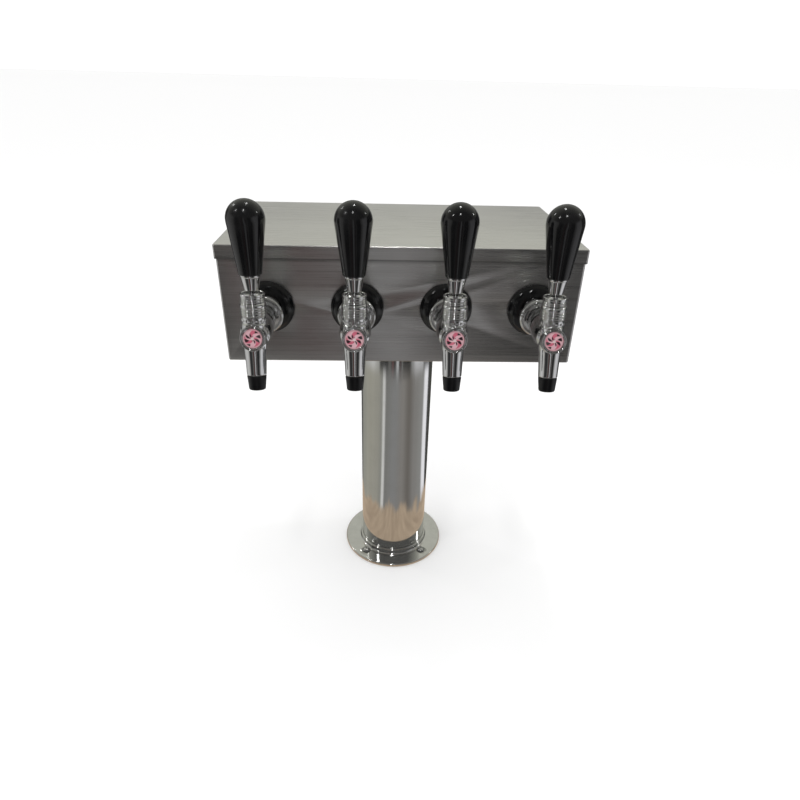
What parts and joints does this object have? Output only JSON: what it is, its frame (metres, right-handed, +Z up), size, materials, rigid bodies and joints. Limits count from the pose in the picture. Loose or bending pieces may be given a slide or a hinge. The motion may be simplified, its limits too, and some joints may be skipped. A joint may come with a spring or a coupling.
{
  "type": "beer tap tower",
  "caption": "Counter-top beer tower: brushed steel box with a lift-off lid on a round column and screw-down flange, with lever faucets along its front.",
  "frame": {"origin": "middle of the footprint of the whole object, on the counter; the column's centre line stands 51.2 mm behind it, at x = 0", "axes": "+Z up, -Y towards the front, where the faucets point, +X to the right as seen from the front"},
  "size_m": [0.4124, 0.3414, 0.5755],
  "materials": {
    "brushed_sheet": "fine horizontal brushing",
    "polished_sheet": "polished",
    "plain_steel": "plain turned",
    "faucet_chrome": "mirror polish",
    "gloss_black": "gloss",
    "tip_black": "satin",
    "badge_print": "printed and domed, in a chrome rim"
  },
  "bodies": {
    "tower": {"base_flange": "polished_sheet", "column_tube": "polished_sheet", "column_head_ring": "plain_steel", "box_body": "brushed_sheet", "flange_screw_1": "polished_sheet", "flange_screw_2": "polished_sheet", "flange_screw_3": "polished_sheet", "flange_screw_4": "polished_sheet", "head_screw_1": "plain_steel", "head_screw_2": "plain_steel", "head_screw_3": "plain_steel", "faucet_body_1": "faucet_chrome", "wall_flange_1": "gloss_black", "shank_1": "plain_steel", "lock_nut_1": "plain_steel", "coupling_nut_1": "faucet_chrome", "bonnet_1": "faucet_chrome", "spout_tip_1": "tip_black", "badge_1": "badge_print", "faucet_body_2": "faucet_chrome", "wall_flange_2": "gloss_black", "shank_2": "plain_steel", "lock_nut_2": "plain_steel", "coupling_nut_2": "faucet_chrome", "bonnet_2": "faucet_chrome", "spout_tip_2": "tip_black", "badge_2": "badge_print", "faucet_body_3": "faucet_chrome", "wall_flange_3": "gloss_black", "shank_3": "plain_steel", "lock_nut_3": "plain_steel", "coupling_nut_3": "faucet_chrome", "bonnet_3": "faucet_chrome", "spout_tip_3": "tip_black", "badge_3": "badge_print", "faucet_body_4": "faucet_chrome", "wall_flange_4": "gloss_black", "shank_4": "plain_steel", "lock_nut_4": "plain_steel", "coupling_nut_4": "faucet_chrome", "bonnet_4": "faucet_chrome", "spout_tip_4": "tip_black", "badge_4": "badge_print"},
    "lid": {"box_lid": "brushed_sheet"},
    "lever_arm_1": {"lever_1": "faucet_chrome", "ferrule_1": "faucet_chrome", "handle_1": "gloss_black"},
    "valve_1": {"plunger_1": "plain_steel"},
    "lever_arm_2": {"lever_2": "faucet_chrome", "ferrule_2": "faucet_chrome", "handle_2": "gloss_black"},
    "valve_2": {"plunger_2": "plain_steel"},
    "lever_arm_3": {"lever_3": "faucet_chrome", "ferrule_3": "faucet_chrome", "handle_3": "gloss_black"},
    "valve_3": {"plunger_3": "plain_steel"},
    "lever_arm_4": {"lever_4": "faucet_chrome", "ferrule_4": "faucet_chrome", "handle_4": "gloss_black"},
    "valve_4": {"plunger_4": "plain_steel"}
  },
  "joints": [
    {"name": "lid_lift", "type": "slide", "parent": "tower", "child": "lid", "axis": [0, 0, 1], "range_m": [0, 0.06]},
    {"name": "lever_pull_1", "type": "hinge", "parent": "tower", "child": "lever_arm_1", "pos_m": [-0.1524, -0.1418, 0.478], "axis": [1, 0, 0], "range_deg": [0, 22]},
    {"name": "valve_travel_1", "type": "slide", "parent": "tower", "child": "valve_1", "axis": [0, 1, 0], "range_m": [0, 0.0096]},
    {"name": "lever_pull_2", "type": "hinge", "parent": "tower", "child": "lever_arm_2", "pos_m": [-0.0508, -0.1418, 0.478], "axis": [1, 0, 0], "range_deg": [0, 22]},
    {"name": "valve_travel_2", "type": "slide", "parent": "tower", "child": "valve_2", "axis": [0, 1, 0], "range_m": [0, 0.0096]},
    {"name": "lever_pull_3", "type": "hinge", "parent": "tower", "child": "lever_arm_3", "pos_m": [0.0508, -0.1418, 0.478], "axis": [1, 0, 0], "range_deg": [0, 22]},
    {"name": "valve_travel_3", "type": "slide", "parent": "tower", "child": "valve_3", "axis": [0, 1, 0], "range_m": [0, 0.0096]},
    {"name": "lever_pull_4", "type": "hinge", "parent": "tower", "child": "lever_arm_4", "pos_m": [0.1524, -0.1418, 0.478], "axis": [1, 0, 0], "range_deg": [0, 22]},
    {"name": "valve_travel_4", "type": "slide", "parent": "tower", "child": "valve_4", "axis": [0, 1, 0], "range_m": [0, 0.0096]}
  ],
  "couplings": [
    {"joint": "valve_travel_1", "follows": "lever_pull_1", "m_per_rad": 0.02466},
    {"joint": "valve_travel_2", "follows": "lever_pull_2", "m_per_rad": 0.02466},
    {"joint": "valve_travel_3", "follows": "lever_pull_3", "m_per_rad": 0.02466},
    {"joint": "valve_travel_4", "follows": "lever_pull_4", "m_per_rad": 0.02466}
  ]
}
